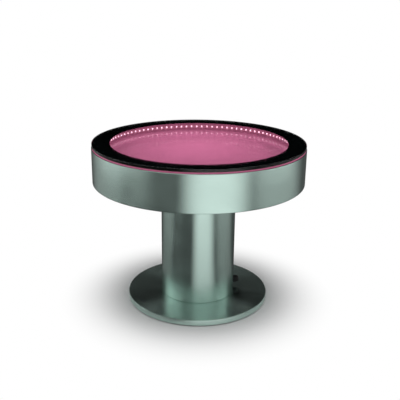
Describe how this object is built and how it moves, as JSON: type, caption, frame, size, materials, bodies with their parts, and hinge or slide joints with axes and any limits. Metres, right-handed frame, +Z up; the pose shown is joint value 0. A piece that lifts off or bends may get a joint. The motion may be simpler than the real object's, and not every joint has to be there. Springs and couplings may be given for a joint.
{
  "type": "light up led table",
  "caption": "Round pedestal table: glass lid over a lit well in a steel drum, on a steel column and a weighted round base.",
  "frame": {"origin": "on the floor, on the table's vertical axis, under the middle of the base", "axes": "+Z up along the table's axis; -Y is the side that the picture shows, with +X to its right"},
  "size_m": [0.6024, 0.6024, 0.474],
  "materials": {
    "clear_glass": "polished, tempered",
    "black_band": "ceramic ink under glass",
    "clear_seal": "translucent silicone, lit pink",
    "opal_acrylic": "glossy opal, lit pink",
    "lamp_strip": "white strip with lit pink lamps",
    "satin_steel": "satin",
    "plated_steel": "zinc plated",
    "plain_steel": "mill",
    "cast_iron": "as cast",
    "black_rubber": "matt",
    "black_nylon": "moulded",
    "case_aluminium": "matt anodised",
    "white_case": "moulded",
    "black_sheath": "extruded",
    "white_sheath": "extruded"
  },
  "bodies": {
    "table": {"glass_seal": "clear_seal", "diffuser_tray": "opal_acrylic", "led_strip": "lamp_strip", "drum_shell": "satin_steel", "drum_floor": "plated_steel", "pan_screw_1": "plated_steel", "pan_screw_2": "plated_steel", "pan_screw_3": "plated_steel", "pan_screw_4": "plated_steel", "pan_screw_5": "plated_steel", "pan_screw_6": "plated_steel", "column_tube": "satin_steel", "column_top_plate": "plain_steel", "column_bottom_plate": "plain_steel", "top_bolt_1": "plated_steel", "top_bolt_2": "plated_steel", "top_bolt_3": "plated_steel", "top_bolt_4": "plated_steel", "base_bolt_1": "plated_steel", "base_bolt_2": "plated_steel", "base_bolt_3": "plated_steel", "base_bolt_4": "plated_steel", "base_cover": "satin_steel", "base_weight": "cast_iron", "floor_pad_1": "black_rubber", "floor_pad_2": "black_rubber", "floor_pad_3": "black_rubber", "floor_pad_4": "black_rubber", "floor_pad_5": "black_rubber", "floor_pad_6": "black_rubber", "gland_body": "black_nylon", "gland_dome_nut": "black_nylon", "gland_lock_nut": "black_nylon", "lead_grommet": "black_rubber", "supply_lead": "black_sheath", "power_supply": "case_aluminium", "supply_screw_1": "plated_steel", "supply_screw_2": "plated_steel", "low_voltage_lead": "black_sheath", "light_controller": "white_case", "controller_screw_1": "plated_steel", "controller_screw_2": "plated_steel", "strip_lead": "white_sheath"},
    "glass_lid": {"glass_top": "clear_glass", "glass_border": "black_band"}
  },
  "joints": [
    {"name": "glass_lift", "type": "slide", "parent": "table", "child": "glass_lid", "axis": [0, 0, 1], "range_m": [0, 0.1]}
  ]
}
